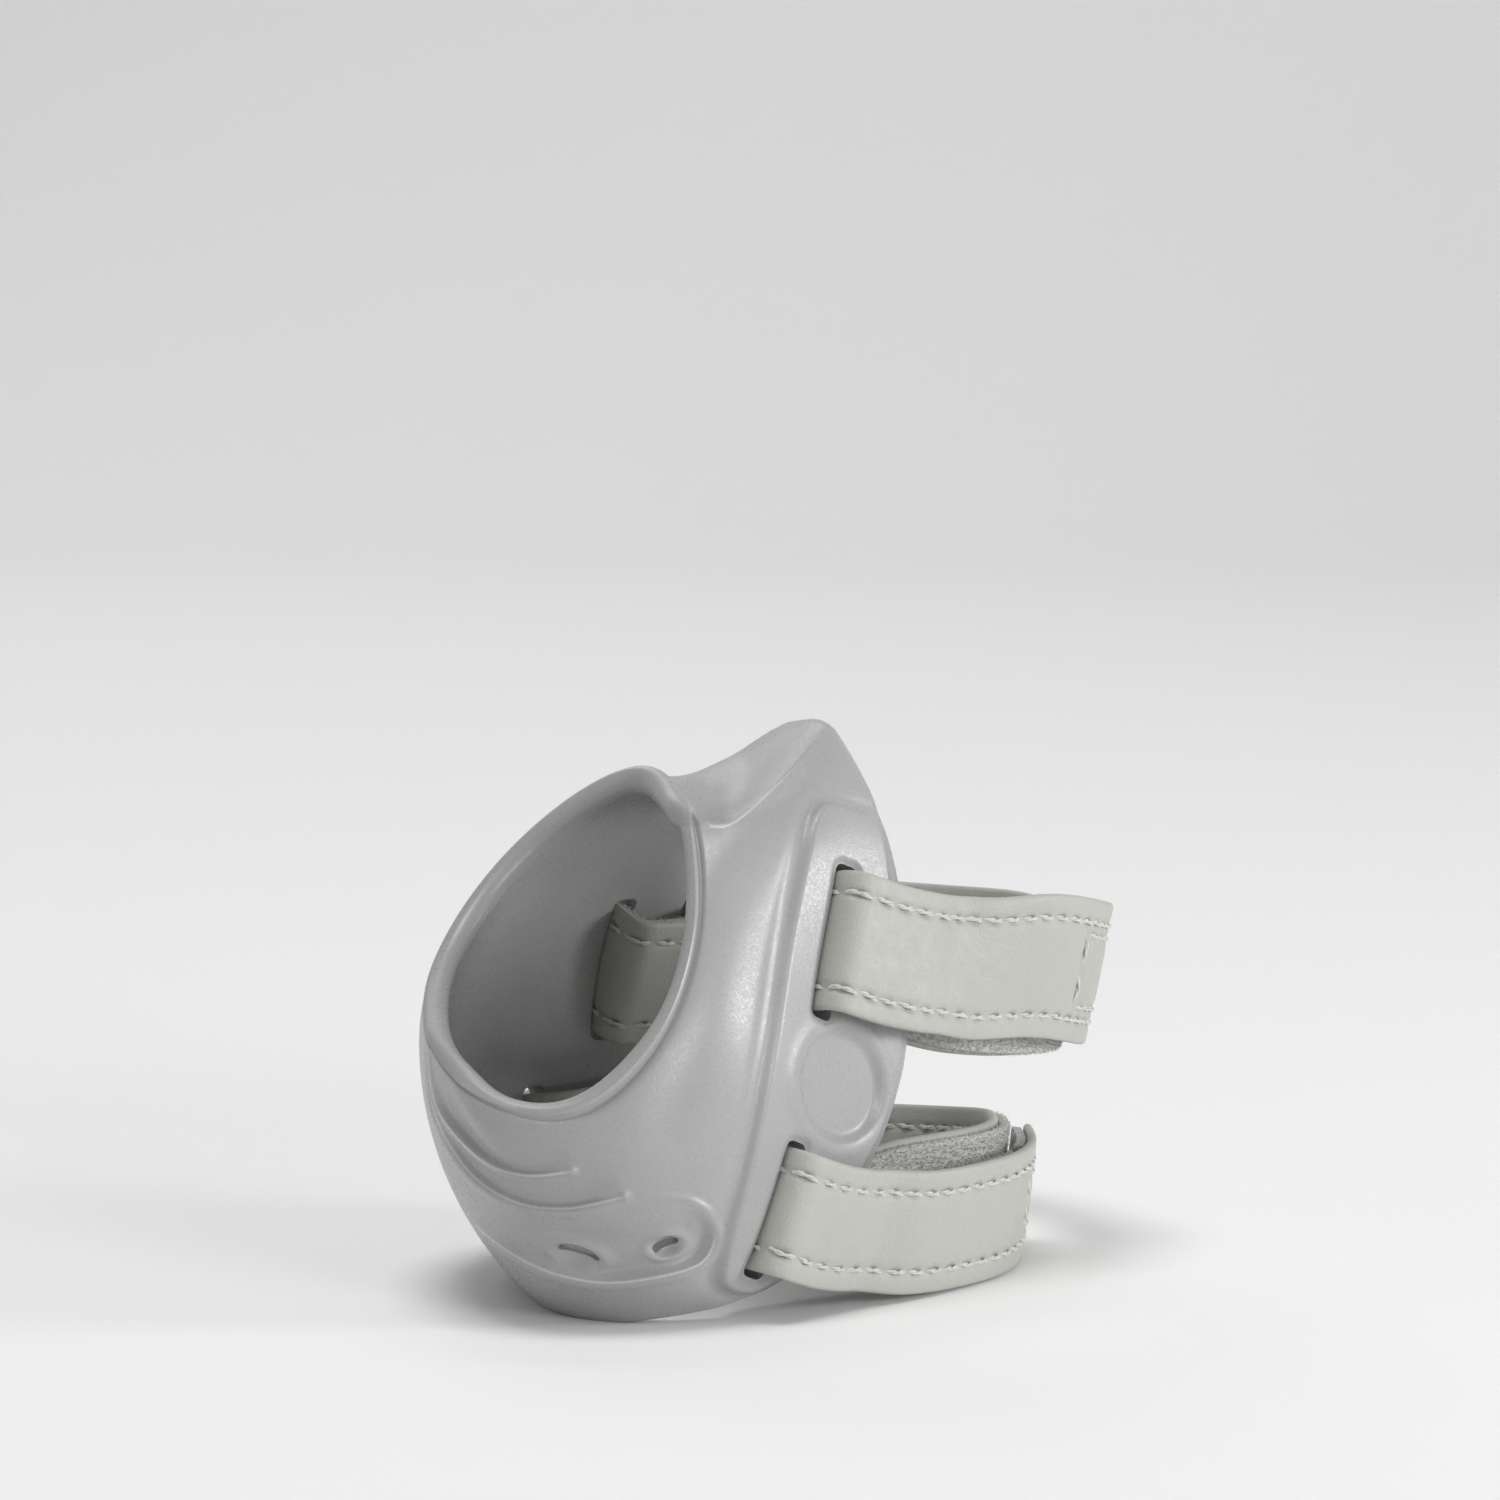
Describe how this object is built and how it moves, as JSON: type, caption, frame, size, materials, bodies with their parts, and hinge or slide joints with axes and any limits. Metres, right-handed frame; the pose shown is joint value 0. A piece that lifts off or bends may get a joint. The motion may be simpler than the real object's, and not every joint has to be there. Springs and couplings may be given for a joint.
{
  "type": "thumb splint",
  "caption": "Right-hand thumb splint: a moulded shell that cups the base of the thumb, with an upper and a lower lined strap that close round the hand and the wrist.",
  "frame": {"origin": "under the middle of the whole splint, on the surface that it stands on", "axes": "+Z from the wrist towards the knuckles, +X towards the back of the hand, +Y away from the thumb"},
  "size_m": [0.0764, 0.0886, 0.0611],
  "materials": {
    "shell": "satin moulded, fine speckle",
    "strap_face": "coated cloth with a fine grain",
    "strap_lining": "short plush",
    "hook_patch": "plain hook tape"
  },
  "bodies": {
    "root": {"shell": "shell", "upper_strap_face": "strap_face", "upper_strap_lining": "strap_lining", "upper_hook_patch": "hook_patch", "lower_strap_face": "strap_face", "lower_strap_lining": "strap_lining", "lower_hook_patch": "hook_patch"}
  },
  "joints": []
}
